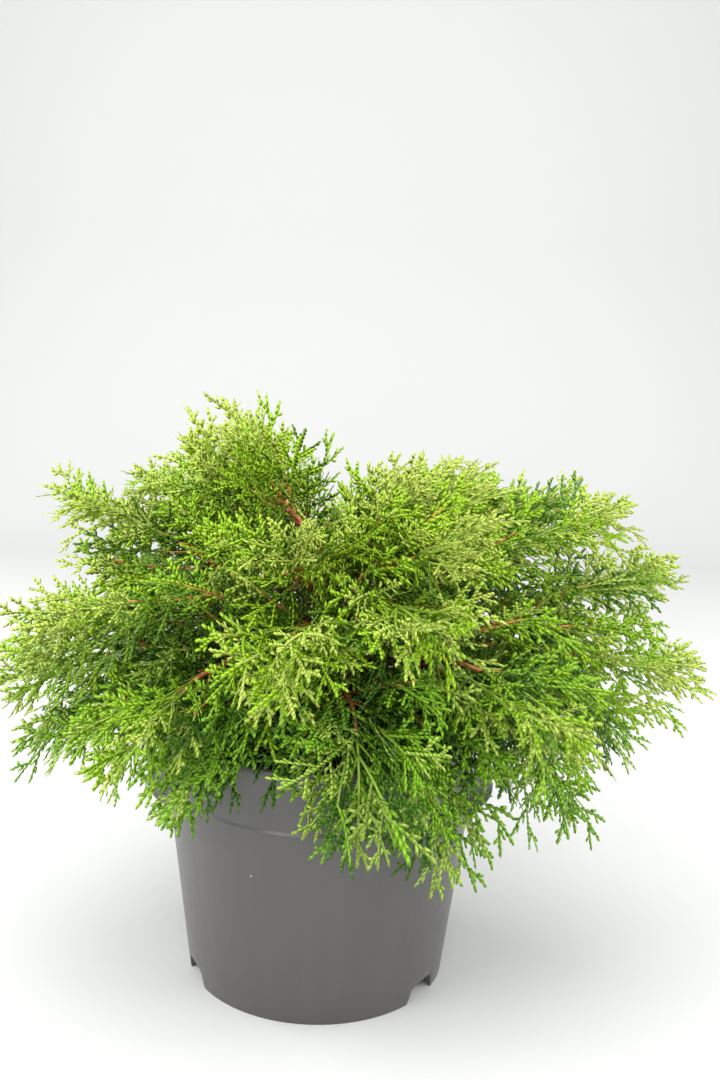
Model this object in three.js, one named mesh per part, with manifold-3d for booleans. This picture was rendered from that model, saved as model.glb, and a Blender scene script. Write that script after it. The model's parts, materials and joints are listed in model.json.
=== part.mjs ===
// A green globe Lawson cypress: a low, wide dwarf conifer growing in a grey plastic nursery pot.
// Millimetres, +Z up. The origin is the centre of the pot's flat underside, and -Y is the front.
// An azimuth is measured about +Z from +X: 0 is the right, 90 the back, 180 the left and 270 the front.
//
// One limb line runs from the short trunk to each tip of the crown. Its inner part is a woody bough,
// and its outer part is the stem of one mass of foliage, which carries flat toothed sprays.
import * as THREE from 'three';
import { mergeVertices } from 'three/addons/utils/BufferGeometryUtils.js';
import Module from 'manifold-3d';

const wasm = await Module();
wasm.setup();

// Gap between two solids that touch on the real plant.
const CLEAR = 0.3;

// Starts every repeatable draw, so another value grows another plant of the same plan.
const SEED = 2;

// Details finer than this are smoothed away where solids are cut or fused.
const SLIVER = 0.02;

// The pot: a thin moulded cone with a bead round it that widens into two carrying lugs.
const POT = {
  height: 197.5,
  footRadius: 95.8,
  beadZ: 151.5,
  beadRadius: 113.2,
  rimRadius: 115.5,
  wall: 2.0,
  lipHeight: 5,
  lipProud: 1.6,
  beadHeight: 1.6,
  beadProud: 1.0,
  segments: 40,
};
const FOOT = { discRadius: 66, channelOuter: 89, channelHeight: 8, slope: 4, floor: 2.2 };
const LUG = { azimuths: [-3, 183], halfAngle: 34, reach: 13, droop: 5 };
const NOTCH = { azimuths: [-36.5, 83.5, 203.5], mouth: 36, crown: 20, height: 14, depth: 13 };

// The potting mix fills the pot to a low dome below the rim.
const SOIL = { edgeZ: 183, domeZ: 187, bands: 2 };

// The trunk: short and hidden, with a root flare on the potting mix.
const TRUNK = { height: 108, flareRadius: 17, footRadius: 11.5, tipRadius: 6, flareHeight: 16, lean: 6, sides: 12 };
const GROUND_Z = SOIL.domeZ + CLEAR;

// The crown's middle, which every spray turns its back to, and the way to the light that the plant grew in.
const HEART = new THREE.Vector3(0, 0, GROUND_Z + 40);
const LIGHT = new THREE.Vector3(0, -0.93, 0.37);

// How every limb line is drawn and divided.
const LIMB = {
  boughShare: 0.33, // the bough's part of the line
  stemEnd: 0.84, // where the foliage's stem stops and its last spray carries on
  rootRadius: 4,
  tipRadius: 2.5,
  stemRadius: 2.6,
  twigRadius: 1.7,
  boughSides: 5,
  boughSteps: 3,
  stemSides: 3,
  stemSteps: 4,
  startPull: 0.42, // how far the start's direction holds, as a share of the straight distance
};

// The sprays along one stem.
const SPRAY = {
  perMass: 12,
  length: 88,
  tipShare: 0.7, // the last sprays' length against the first ones'
  rootWidth: 1.1,
  thickness: 1.0,
  midrib: 0.42, // how far the thick rib runs, and below where and how wide the outline is, as shares of the length
  outline: [[0.56, 0.27], [0.54, 0.11]],
  baseAngle: 52,
  tipAngle: 32,
  turn: 137.5, // each spray leaves the stem this far round from the one before
  rollSpread: 14,
  towardsLight: 0.8, // how strongly the sprays face the light against facing straight out of the crown
  twistSpread: 24, // how far a spray's face may turn from there
  endOn: 0.3, // a spray that points out of the crown more squarely than this share faces along the stem's side
  shrinks: [1, 0.8, 0.64, 0.5], // sizes tried before a spray is skipped
  rolls: [0, 42, -42, 84], // turns about the stem tried at each size
  clearance: 0.8, // least margin between one mass's space and the next
  pastTip: 6, // how much a side spray may be longer than the way to the limb's tip
  overTop: 12, // how far it may rise above the limb's highest point
};

// The tiers of limbs, from the leader at the top to the skirt over the rim. Each limb is its azimuth, its tip's
// distance from the pot's axis, its tip's height, and the direction it points in there, above the horizon. A tier's
// limbs leave the trunk by turns at its two starts, heights above the potting mix, and climb in the direction rise;
// endPull is how far back from the tip the limb keeps to the tip's direction, as a share of the straight distance.
const TIERS = [
  { name: 'leader', rise: 88, endPull: 0.4, starts: [106, 106], limbs: [[176, 60, 408, 80]] },
  {
    name: 'crest', rise: 56, endPull: 0.4, starts: [76, 88],
    limbs: [
      [164, 98, 392, 58], [350, 58, 372, 62], [16, 106, 370, 52], [250, 104, 352, 32], [318, 126, 352, 34],
    ],
  },
  {
    name: 'shoulder', rise: 46, endPull: 0.4, starts: [52, 62],
    limbs: [
      [8, 222, 358, 30], [30, 190, 352, 36], [78, 200, 318, 26], [147, 160, 362, 38],
      [168, 196, 350, 20], [194, 214, 254, -24], [256, 156, 268, -34], [294, 160, 304, -8],
    ],
  },
  {
    name: 'waist', rise: 40, endPull: 0.4, starts: [30, 40],
    limbs: [
      [354, 270, 250, 4], [10, 268, 302, 20], [66, 246, 250, 4], [138, 242, 248, -4],
      [184, 228, 208, -26], [222, 190, 198, -42], [324, 212, 228, -30],
    ],
  },
  {
    name: 'skirt', rise: 46, endPull: 0.74, starts: [10, 18],
    limbs: [
      [346, 204, 136, -48], [6, 248, 174, -28], [104, 206, 140, -44], [186, 222, 170, -32],
      [230, 146, 164, -66], [280, 146, 160, -76], [308, 152, 132, -72],
    ],
  },
];

const degrees = THREE.MathUtils.degToRad;
const UP = new THREE.Vector3(0, 0, 1);

const finish = (color, roughness) => new THREE.MeshStandardMaterial({ color, roughness, metalness: 0 });
const MATERIALS = {
  pot: finish(0x6d6966, 0.5),
  soil: finish(0x2e231a, 0.95),
  bark: finish(0x94613f, 0.85),
  leader: finish(0x9bbd3c, 0.6),
  crest: finish(0x9bbd3c, 0.6),
  shoulder: finish(0x8ab535, 0.6),
  waist: finish(0x6fa22c, 0.6),
  skirt: finish(0x4f8a2b, 0.6),
};

// A closed geometry as a solid.
function solidOf(geometry) {
  const bare = geometry.clone();
  bare.deleteAttribute('normal');
  bare.deleteAttribute('uv');
  const merged = mergeVertices(bare, 1e-4);
  return new wasm.Manifold(new wasm.Mesh({
    numProp: 3,
    vertProperties: new Float32Array(merged.attributes.position.array),
    triVerts: new Uint32Array(merged.index.array),
  }));
}

// The largest outer body of a solid, without the slivers that cutting and fusing leave: loose scraps are dropped.
function largestBody(solid) {
  const bodies = solid.simplify(SLIVER).decompose();
  return bodies.reduce((best, body) => (body.volume() > best.volume() ? body : best));
}

function meshOf(solid, name, material) {
  const { numProp, vertProperties, triVerts } = solid.getMesh();
  const points = new Float32Array((vertProperties.length / numProp) * 3);
  for (let i = 0; i < points.length / 3; i++) {
    points.set(vertProperties.subarray(i * numProp, i * numProp + 3), i * 3);
  }
  const geometry = new THREE.BufferGeometry()
    .setAttribute('position', new THREE.BufferAttribute(points, 3))
    .setIndex(new THREE.BufferAttribute(new Uint32Array(triVerts), 1));
  const flat = geometry.toNonIndexed();
  flat.computeVertexNormals();
  const mesh = new THREE.Mesh(flat, material);
  mesh.name = name;
  return mesh;
}

// A repeatable source of numbers from 0 to 1.
function seeded(seed) {
  let state = ((seed + SEED * 1000003) * 7919) % 4294967296;
  return () => {
    state = (state * 1664525 + 1013904223) % 4294967296;
    return state / 4294967296;
  };
}

// Direction with an azimuth and an elevation, in degrees.
function direction(azimuth, elevation) {
  const a = degrees(azimuth);
  const e = degrees(elevation);
  return new THREE.Vector3(Math.cos(a) * Math.cos(e), Math.sin(a) * Math.cos(e), Math.sin(e));
}

// Signed difference between two azimuths, from -180 to 180 degrees.
function turnBetween(a, b) {
  return ((a - b + 540) % 360) - 180;
}

// Radius of the pot's outer wall at a height.
function potRadius(z) {
  const { footRadius, beadZ, beadRadius, rimRadius, height } = POT;
  if (z < beadZ) return footRadius + ((beadRadius - footRadius) * z) / beadZ;
  return beadRadius + ((rimRadius - beadRadius) * (z - beadZ)) / (height - beadZ);
}

// A lathe about +Z, from a profile of [radius, height] pairs that closes on the axis.
function turned(profile, segments) {
  const points = profile.map(([r, z]) => new THREE.Vector2(r, z));
  const lathe = new THREE.LatheGeometry(points, segments);
  lathe.rotateX(Math.PI / 2);
  return lathe;
}

// The stretch of a turned profile that follows the pot's wall from one height to another, inside it by an offset.
function potSkin(offset, from, to) {
  return [from, POT.beadZ, to].map((z) => [potRadius(z) - offset, z]);
}

function makePot() {
  const { height, wall, beadZ, beadHeight, beadProud, lipHeight, lipProud } = POT;
  const { discRadius, channelOuter, channelHeight, slope, floor } = FOOT;
  const beadLow = beadZ - beadHeight / 2;
  const beadHigh = beadZ + beadHeight / 2;
  const beadOut = potRadius(beadZ) + beadProud;
  const lipLow = height - lipHeight;
  const lipOut = potRadius(lipLow) + lipProud;
  const roof = channelHeight + floor;
  const profile = [
    [0, 0], [discRadius, 0], [discRadius + slope, channelHeight], [channelOuter, channelHeight],
    [potRadius(0) - wall, 0], [potRadius(0), 0],
    [potRadius(beadLow), beadLow], [beadOut, beadLow], [beadOut, beadHigh], [potRadius(beadHigh), beadHigh],
    [potRadius(lipLow), lipLow], [lipOut, lipLow], [lipOut, height - 1], [lipOut - 1, height],
    ...potSkin(wall, height, roof + slope),
    [channelOuter - 1, roof], [discRadius + slope - 1, roof], [discRadius - 1, floor], [0, floor],
  ];
  const shell = turned(profile, POT.segments);
  widenIntoLugs(shell, beadOut, beadLow, beadHigh);
  const notches = NOTCH.azimuths.map(makeNotch);
  return notches.reduce((pot, notch) => pot.subtract(notch), solidOf(shell));
}

// Pulls the bead's outer edge out and down over each lug, highest at the lug's middle.
function widenIntoLugs(shell, beadOut, beadLow, beadHigh) {
  const { position } = shell.attributes;
  for (let i = 0; i < position.count; i++) {
    const [x, y, z] = [position.getX(i), position.getY(i), position.getZ(i)];
    const radius = Math.hypot(x, y);
    const onBead = radius > beadOut - 0.1 && z > beadLow - 0.1 && z < beadHigh + 0.1;
    if (!onBead) continue;
    const azimuth = THREE.MathUtils.radToDeg(Math.atan2(y, x));
    const away = Math.min(...LUG.azimuths.map((a) => Math.abs(turnBetween(azimuth, a))));
    if (away >= LUG.halfAngle) continue;
    const share = Math.cos((away / LUG.halfAngle) * (Math.PI / 2)) ** 0.8;
    const grown = (radius + LUG.reach * share) / radius;
    position.setXYZ(i, x * grown, y * grown, z - LUG.droop * share * share);
  }
}

// An arch that runs through the foot of the wall, wider at the ground.
function makeNotch(azimuth) {
  const { mouth, crown, height, depth } = NOTCH;
  const arch = new THREE.Shape();
  arch.moveTo(-mouth / 2, -1);
  arch.lineTo(mouth / 2, -1);
  arch.lineTo(crown / 2 + 3, height * 0.72);
  arch.lineTo(crown / 2 - 2, height);
  arch.lineTo(2 - crown / 2, height);
  arch.lineTo(-crown / 2 - 3, height * 0.72);
  arch.closePath();
  const prism = new THREE.ExtrudeGeometry(arch, { depth: depth + 8, bevelEnabled: false });
  prism.rotateX(Math.PI / 2);
  prism.rotateZ(Math.PI / 2);
  prism.translate(potRadius(0) - depth, 0, 0);
  prism.rotateZ(degrees(azimuth));
  return solidOf(prism);
}

function makeSoil() {
  const { discRadius, slope, channelHeight, floor } = FOOT;
  const seat = floor + CLEAR;
  const shelf = channelHeight + floor + CLEAR;
  const inner = POT.wall + CLEAR + 0.2;
  const dome = [];
  for (let i = 1; i < SOIL.bands; i++) {
    const share = 1 - i / SOIL.bands;
    const z = SOIL.edgeZ + (SOIL.domeZ - SOIL.edgeZ) * Math.sqrt(1 - share * share);
    dome.push([share * (potRadius(SOIL.edgeZ) - inner), z]);
  }
  return solidOf(turned([
    [0, seat], [discRadius - 3, seat], [discRadius + slope - 3, shelf], [FOOT.channelOuter - 4, shelf],
    ...potSkin(inner, shelf + slope, SOIL.edgeZ), ...dome, [0, SOIL.domeZ],
  ], POT.segments));
}

// A tapered round bar bent along a curve, from one share of the curve's length to another.
function bentBar(curve, from, to, startRadius, endRadius, sides, steps) {
  const bar = new THREE.CylinderGeometry(endRadius, startRadius, 1, sides, steps);
  const { position } = bar.attributes;
  for (let i = 0; i < position.count; i++) {
    const share = position.getY(i) + 0.5;
    const { point, side, lift } = frameAt(curve, from + (to - from) * share);
    const moved = point.clone()
      .addScaledVector(side, position.getX(i))
      .addScaledVector(lift, position.getZ(i));
    position.setXYZ(i, moved.x, moved.y, moved.z);
  }
  return bar;
}

// Place on a curve, with its direction, a level side direction and the lift direction square to both.
function frameAt(curve, share) {
  const point = curve.getPoint(share);
  const ahead = curve.getTangent(share);
  const side = new THREE.Vector3().crossVectors(ahead, curve.level).normalize();
  const lift = new THREE.Vector3().crossVectors(side, ahead);
  return { point, ahead, side, lift };
}

function trunkCurve() {
  const foot = new THREE.Vector3(0, 0, GROUND_Z);
  const tip = new THREE.Vector3(-TRUNK.lean, 0, GROUND_Z + TRUNK.height);
  const curve = new THREE.QuadraticBezierCurve3(foot, new THREE.Vector3(TRUNK.lean, 0, (foot.z + tip.z) / 2), tip);
  curve.level = new THREE.Vector3(0, 1, 0);
  return curve;
}

// The trunk's radius at a share of its height: a root flare that settles into an even taper.
function trunkRadius(share) {
  const { flareRadius, footRadius, tipRadius, flareHeight, height } = TRUNK;
  const flare = (flareRadius - footRadius) * Math.exp((-3 * share * height) / flareHeight);
  return footRadius + (tipRadius - footRadius) * share + flare;
}

// The trunk's solid, grown outward by a margin where it is used to cut what leaves it.
function makeTrunk(curve, margin = 0) {
  const steps = 8;
  const column = new THREE.CylinderGeometry(1, 1, 1, TRUNK.sides, steps);
  const { position } = column.attributes;
  for (let i = 0; i < position.count; i++) {
    const share = (position.getY(i) + 0.5) ** 1.5; // more rings in the flare
    const centre = curve.getPoint(share);
    const radius = trunkRadius(share) + margin;
    const z = centre.z + (share > 0.99 ? margin : 0);
    position.setXYZ(i, centre.x + position.getX(i) * radius, centre.y - position.getZ(i) * radius, z);
  }
  return solidOf(column);
}

// One limb line from the trunk to a tip of the crown.
function limbCurve(trunk, tier, [azimuth, reach, height, tipRise], order) {
  const draw = seeded(order + 1);
  const start = trunk.getPoint(tier.starts[order % 2] / TRUNK.height);
  const tip = direction(azimuth, 0).multiplyScalar(reach).setZ(height);
  const span = start.distanceTo(tip);
  const sway = new THREE.Vector3().crossVectors(UP, direction(azimuth, 0)).multiplyScalar((draw() - 0.5) * 0.1 * span);
  const first = start.clone().addScaledVector(direction(azimuth, tier.rise), LIMB.startPull * span).add(sway);
  const last = tip.clone().addScaledVector(direction(azimuth, tipRise), -tier.endPull * span).add(sway);
  const curve = new THREE.CubicBezierCurve3(start, first, last, tip);
  curve.level = direction(azimuth, tier.rise > 80 ? 0 : 90);
  return curve;
}

// The woody part of a limb, less what is in its way, or grown outward by a margin to cut another clear of it.
function makeBough(limb, cutters, margin = 0) {
  const { boughShare, rootRadius, tipRadius, boughSides, boughSteps } = LIMB;
  const bar = bentBar(limb.curve, 0, boughShare, rootRadius + margin, tipRadius + margin, boughSides, boughSteps);
  return largestBody(cutters.reduce((left, cutter) => left.subtract(cutter), solidOf(bar)));
}

// The sprays of one limb, round and along its stem, then one at its end: a place, a root direction and a length each.
function sprayPlans(limb) {
  const { perMass, baseAngle, tipAngle, tipShare } = SPRAY;
  const { boughShare, stemEnd } = LIMB;
  return Array.from({ length: perMass }, (_, i) => {
    const draw = seeded(limb.order * 100 + i + 500);
    const isLast = i === perMass - 1;
    const along = i / (perMass - 1);
    const share = isLast ? stemEnd - 0.01 : boughShare + 0.03 + (stemEnd - boughShare - 0.05) * along;
    const frame = frameAt(limb.curve, share);
    const toTip = limb.curve.getPoint(1).distanceTo(frame.point);
    const roll = SPRAY.turn * i + (draw() - 0.5) * 2 * SPRAY.rollSpread;
    const twist = (draw() - 0.5) * 2 * SPRAY.twistSpread;
    const full = SPRAY.length * (1 + (tipShare - 1) * along) * (0.88 + 0.24 * draw());
    const open = isLast ? 0 : baseAngle + (tipAngle - baseAngle) * along;
    return { ...frame, roll, open, twist, length: isLast ? toTip : Math.min(full, toTip + SPRAY.pastTip) };
  });
}

// A spray's own axes: the way it reaches, its width and its face, with an extra turn about the stem. Sprays face out
// of the crown, as shingles do, and a little to the light.
function sprayAxes({ point, ahead, side, lift, roll, open, twist, length }, turn) {
  const angle = degrees(roll + turn);
  const across = side.clone().multiplyScalar(Math.cos(angle)).addScaledVector(lift, Math.sin(angle));
  const reach = ahead.clone().multiplyScalar(Math.cos(degrees(open))).addScaledVector(across, Math.sin(degrees(open)));
  const outward = point.clone().addScaledVector(reach, length / 2).sub(HEART).normalize();
  outward.addScaledVector(LIGHT, SPRAY.towardsLight).normalize();
  let square = outward.clone().addScaledVector(reach, -outward.dot(reach));
  if (square.length() < SPRAY.endOn) square = new THREE.Vector3().crossVectors(reach, across);
  const flat = square.normalize().applyAxisAngle(reach, degrees(twist));
  const wide = new THREE.Vector3().crossVectors(flat, reach);
  return { reach, wide, flat };
}

// A spray's outline in its own plane: a narrow root, a tooth on each side and a long middle tip.
function sprayOutline(length) {
  const side = [[0, SPRAY.rootWidth / 2], ...SPRAY.outline.map(([x, y]) => [x * length, y * length])];
  const other = side.map(([x, y]) => [x, -y]).reverse();
  return [...side, [length, 0], ...other];
}

// A spray as a toothed blade, flat below and with a rib along its top from the root to its middle.
function sprayGeometry(point, axes, length) {
  const outline = sprayOutline(length).map(([x, y]) => [x, y, 0]);
  const rib = [[0, 0, SPRAY.thickness], [length * SPRAY.midrib, 0, SPRAY.thickness]];
  const last = outline.length - 1;
  const [ribRoot, ribEnd] = [last + 1, last + 2];
  const faces = [[0, ribRoot, ribEnd], [last, ribEnd, ribRoot], [0, last, ribRoot]];
  for (let i = 0; i < last; i++) {
    faces.push([i + 1, i, ribEnd]);
    if (i > 0) faces.push([0, i, i + 1]);
  }
  const blade = new THREE.BufferGeometry()
    .setAttribute('position', new THREE.Float32BufferAttribute([...outline, ...rib].flat(), 3))
    .setIndex(faces.flat());
  const pose = new THREE.Matrix4().makeBasis(axes.reach, axes.wide, axes.flat).setPosition(point);
  return blade.applyMatrix4(pose);
}

// Points over a spray that show whether it keeps to its mass's own space.
function sprayPoints(point, axes, length) {
  const outline = sprayOutline(length);
  const spread = outline.flatMap(([x, y], i) => {
    const [nextX, nextY] = outline[(i + 1) % outline.length];
    return [[x, y], [(x + nextX) / 2, (y + nextY) / 2], [x, y / 2]];
  });
  return spread.filter(([x]) => x > length * 0.12).map(([x, y]) => (
    point.clone().addScaledVector(axes.reach, x).addScaledVector(axes.wide, y)
  ));
}

// Distance from a point to the nearest stretch of a line of points.
function distanceToLine(point, line) {
  const nearest = new THREE.Vector3();
  let least = Infinity;
  for (let i = 0; i + 1 < line.length; i++) {
    new THREE.Line3(line[i], line[i + 1]).closestPointToPoint(point, true, nearest);
    least = Math.min(least, nearest.distanceTo(point));
  }
  return least;
}

// Whether a point is inside the pot or too close to it.
function nearPot(point) {
  const radius = Math.hypot(point.x, point.y);
  if (point.z > POT.height + 3) return false;
  const azimuth = THREE.MathUtils.radToDeg(Math.atan2(point.y, point.x));
  const overLug = LUG.azimuths.some((a) => Math.abs(turnBetween(azimuth, a)) < LUG.halfAngle)
    && Math.abs(point.z - POT.beadZ) < 14;
  return radius < potRadius(POT.height) + 4 + (overLug ? LUG.reach : 0);
}

// Whether a spray stays in its mass's own space, and clear of the boughs and the pot.
function fits(points, limb, limbs) {
  return points.every((point) => {
    if (nearPot(point) || point.z > limb.topZ + SPRAY.overTop) return false;
    const own = distanceToLine(point, limb.stemLine);
    return limbs.every((other) => {
      const clearOfBough = distanceToLine(point, other.boughLine) > LIMB.rootRadius + 1;
      if (other === limb) return clearOfBough;
      return clearOfBough && distanceToLine(point, other.stemLine) > own + SPRAY.clearance;
    });
  });
}

// The spray of a plan at the largest size and the first turn that fit, or nothing.
function firstThatFits(plan, limb, limbs, taken) {
  for (const shrink of SPRAY.shrinks) {
    for (const turn of SPRAY.rolls) {
      const length = plan.length * shrink;
      const axes = sprayAxes(plan, turn);
      if (!fits(sprayPoints(plan.point, axes, length), limb, limbs)) continue;
      const blade = solidOf(sprayGeometry(plan.point, axes, length));
      if (taken.every((solid) => blade.intersect(solid).isEmpty())) return blade;
    }
  }
  return null;
}

// One mass of foliage: its stem with every spray that fits, fused into one solid.
function makeFoliage(limb, limbs, taken) {
  const { boughShare, stemEnd, stemRadius, twigRadius, stemSides, stemSteps } = LIMB;
  const gap = CLEAR / limb.curve.getLength();
  const stem = bentBar(limb.curve, boughShare + gap, stemEnd, stemRadius, twigRadius, stemSides, stemSteps);
  const pieces = [solidOf(stem)];
  for (const plan of sprayPlans(limb)) {
    const spray = firstThatFits(plan, limb, limbs, taken);
    if (spray) pieces.push(spray);
  }
  return largestBody(wasm.Manifold.union(pieces));
}

// Points along a stretch of a curve.
function lineAlong(curve, from, to, steps) {
  return Array.from({ length: steps + 1 }, (_, i) => curve.getPoint(from + ((to - from) * i) / steps));
}

const cypress = new THREE.Group();
const solids = []; // all that is made so far, which new foliage has to clear

function place(solid, name, material) {
  solids.push(solid);
  cypress.add(meshOf(solid, name, material));
}

const trunk = trunkCurve();
place(makePot(), 'pot', MATERIALS.pot);
place(makeSoil(), 'potting_mix', MATERIALS.soil);
place(makeTrunk(trunk), 'trunk', MATERIALS.bark);

const limbs = TIERS.flatMap((tier) => tier.limbs.map((row, i) => ({ tier, row, name: `${tier.name}_${i + 1}` })));
limbs.forEach((limb, order) => {
  limb.order = order;
  limb.curve = limbCurve(trunk, limb.tier, limb.row, order);
  limb.boughLine = lineAlong(limb.curve, 0, LIMB.boughShare - 0.02, 5);
  limb.stemLine = lineAlong(limb.curve, LIMB.boughShare, 1, 8);
  limb.topZ = Math.max(...limb.stemLine.map((point) => point.z));
});

// Each bough is cut clear of the trunk and of the boughs made before it.
const cutters = [makeTrunk(trunk, CLEAR)];
for (const limb of limbs) {
  place(makeBough(limb, cutters), `bough_${limb.name}`, MATERIALS.bark);
  cutters.push(makeBough(limb, [], CLEAR * 1.3));
}

for (const limb of limbs) {
  place(makeFoliage(limb, limbs, solids), `foliage_${limb.name}`, MATERIALS[limb.tier.name]);
}

export default cypress;
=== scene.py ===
# %% [markdown]
# # A green globe cypress in a nursery pot
# This lesson dresses a CAD frame of a low, wide dwarf conifer in its grey plastic pot. The frame gives the
# sizes and the limbs. Here the pot gets its moulded details, the limbs get bark, and every block of foliage
# becomes sprays of small scale leaves that grow from the same limbs by the same rule. The first cell loads
# the frame and keeps its box, because the finished plant has to fill the same space.

import json
import math

import bmesh
import bpy
import numpy as np
from mathutils import Matrix, Vector

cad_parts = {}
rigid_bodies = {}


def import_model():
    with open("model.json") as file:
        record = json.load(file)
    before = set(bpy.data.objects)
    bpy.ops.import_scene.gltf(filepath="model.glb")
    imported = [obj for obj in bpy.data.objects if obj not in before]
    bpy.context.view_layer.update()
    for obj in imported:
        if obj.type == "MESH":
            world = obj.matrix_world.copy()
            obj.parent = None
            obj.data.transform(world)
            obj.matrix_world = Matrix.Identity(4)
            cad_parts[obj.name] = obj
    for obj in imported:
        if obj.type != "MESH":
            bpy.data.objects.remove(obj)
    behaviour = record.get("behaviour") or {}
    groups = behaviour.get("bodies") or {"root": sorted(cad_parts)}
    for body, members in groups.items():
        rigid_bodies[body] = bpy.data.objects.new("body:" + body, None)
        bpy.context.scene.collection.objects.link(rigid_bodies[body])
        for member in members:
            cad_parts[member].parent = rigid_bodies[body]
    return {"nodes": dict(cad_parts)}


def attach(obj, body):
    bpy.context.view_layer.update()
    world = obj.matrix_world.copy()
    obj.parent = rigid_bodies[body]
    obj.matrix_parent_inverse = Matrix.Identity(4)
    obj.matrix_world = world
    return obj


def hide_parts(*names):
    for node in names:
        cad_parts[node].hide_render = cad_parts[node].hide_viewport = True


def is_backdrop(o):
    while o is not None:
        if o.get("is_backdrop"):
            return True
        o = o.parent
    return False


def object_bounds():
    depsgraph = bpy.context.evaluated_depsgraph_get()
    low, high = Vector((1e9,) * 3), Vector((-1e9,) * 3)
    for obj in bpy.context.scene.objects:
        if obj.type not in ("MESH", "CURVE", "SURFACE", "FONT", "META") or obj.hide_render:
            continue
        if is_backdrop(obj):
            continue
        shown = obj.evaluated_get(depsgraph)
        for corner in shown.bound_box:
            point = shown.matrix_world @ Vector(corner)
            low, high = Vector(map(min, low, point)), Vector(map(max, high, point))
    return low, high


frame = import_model()
cad_box = [list(corner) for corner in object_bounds()]
bpy.ops.object.select_all(action="DESELECT")
print("CAD nodes:", len(frame["nodes"]))

# %% [markdown]
# Sizes here are in millimetres, as on a drawing, and become Blender's metres where a mesh is made.
# A few helpers come first: they keep each modelling step down to one line that says what a hand would do.

# %% Helpers for numbers and directions
MM = 0.001


def even(pair, way):
    """A value that goes evenly from the first of a pair to the second."""
    return pair[0] + (pair[1] - pair[0]) * way


def around(azimuth, radius, z=0):
    """The place at an azimuth in degrees, a distance from the pot's axis and a height."""
    turn = math.radians(azimuth)
    return np.array([radius * math.cos(turn), radius * math.sin(turn), z])


def heading(turn, rise):
    """Direction with a turn in a plane and a rise out of it, in radians."""
    return np.array([math.cos(turn) * math.cos(rise), math.sin(turn) * math.cos(rise), math.sin(rise)])


def direction(azimuth, elevation):
    """The same from degrees."""
    return heading(math.radians(azimuth), math.radians(elevation))


# %% Helpers for modelling by hand
def make_active(piece):
    bpy.ops.object.select_all(action="DESELECT")
    piece.select_set(True)
    bpy.context.view_layer.objects.active = piece


def edit(piece):
    make_active(piece)
    bpy.ops.object.mode_set(mode="EDIT")
    bpy.ops.mesh.select_mode(type="VERT")


def leave_edit():
    bpy.ops.object.mode_set(mode="OBJECT")


def select_points(piece, wanted):
    """Selects the mesh points whose place in millimetres passes the test."""
    bpy.ops.mesh.select_all(action="DESELECT")
    cage = bmesh.from_edit_mesh(piece.data)
    for point in cage.verts:
        point.select = wanted(point.co / MM)
    cage.select_flush_mode()
    bmesh.update_edit_mesh(piece.data)


def apply_modifier(piece, kind, **settings):
    make_active(piece)
    modifier = piece.modifiers.new(kind.lower(), kind)
    for name, value in settings.items():
        setattr(modifier, name, value)
    bpy.ops.object.modifier_apply(modifier=modifier.name)


def face_outwards(piece):
    """Merges doubled points and turns every face of a closed piece outwards."""
    edit(piece)
    bpy.ops.mesh.select_all(action="SELECT")
    bpy.ops.mesh.remove_doubles(threshold=0.01 * MM)
    bpy.ops.mesh.normals_make_consistent(inside=False)
    leave_edit()


def settle(piece):
    """Puts the piece's place, turn and size into its mesh."""
    make_active(piece)
    bpy.ops.object.transform_apply(location=True, rotation=True, scale=True)


def shade_smooth(piece, angle):
    make_active(piece)
    bpy.ops.object.shade_smooth_by_angle(angle=math.radians(angle))


def hand_over(piece, material, slot, stands_for=()):
    """Gives the finished piece its material and body and hides the CAD nodes that it stands for. The slot is
    not used.
    """
    piece.data.materials.clear()
    piece.data.materials.append(material)
    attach(piece, "root")
    if stands_for:
        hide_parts(*stands_for)
    print(f"{piece.name}: {len(piece.data.polygons)} faces, stands for {len(stands_for)} CAD nodes")


def mesh_piece(name, points, faces):
    """A mesh object from arrays of points in millimetres and triangles."""
    mesh = bpy.data.meshes.new(name)
    mesh.from_pydata(points * MM, [], faces.tolist(), shade_flat=False)
    mesh.validate()
    piece = bpy.data.objects.new(name, mesh)
    bpy.context.scene.collection.objects.link(piece)
    return piece


def joined(parts):
    """Several (points, faces) as one."""
    points, faces, count = [], [], 0
    for part_points, part_faces in parts:
        points.append(part_points)
        faces.append(part_faces + count)
        count += len(part_points)
    return np.concatenate(points), np.concatenate(faces)


# %% [markdown]
# A material here is a small net of nodes. Its colours are given as on a screen, from 0 to 255, and
# Blender calculates with light, so one helper turns them into linear light. Another starts a material with
# its shader and the piece's own coordinates, so noise can be given a real size.

# %% Helper for colours
def screen_colour(red, green, blue):
    """A screen colour from 0 to 255 as linear light."""
    shares = [value / 255 for value in (red, green, blue)]
    linear = [s / 12.92 if s <= 0.04045 else ((s + 0.055) / 1.055) ** 2.4 for s in shares]
    return (*linear, 1.0)


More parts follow.
